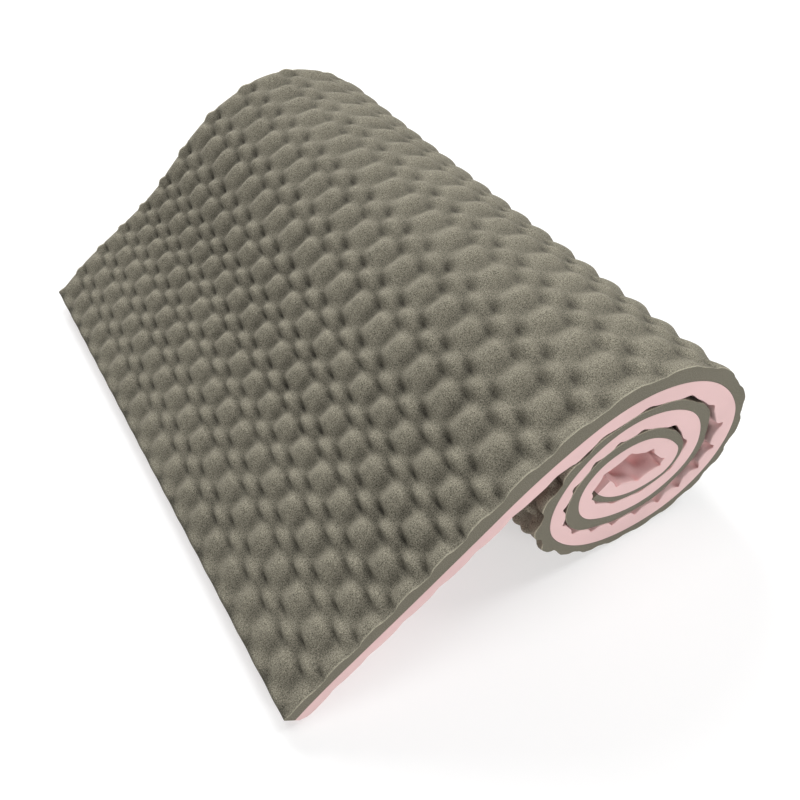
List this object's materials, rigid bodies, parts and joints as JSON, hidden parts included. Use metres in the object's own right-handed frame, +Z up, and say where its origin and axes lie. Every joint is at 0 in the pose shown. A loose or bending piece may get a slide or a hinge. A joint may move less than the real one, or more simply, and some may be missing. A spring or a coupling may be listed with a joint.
{
  "type": "mattress topper",
  "caption": "Convoluted foam mattress topper of a grey and a pink layer glued face to face, partly rolled up with its tail sloping down to the surface.",
  "frame": {"origin": "on the surface it lies on, in the middle of its footprint", "axes": "+X from the tail's end to the roll, +Y across the topper along the roll, from the near cut edge to the far one, +Z up"},
  "size_m": [0.6074, 0.8, 0.2817],
  "materials": {
    "grey_foam": "matte open-cell foam, olive grey",
    "pink_foam": "matte open-cell foam, pale pink"
  },
  "bodies": {
    "root": {"grey_layer": "grey_foam", "pink_layer": "pink_foam"}
  },
  "joints": []
}
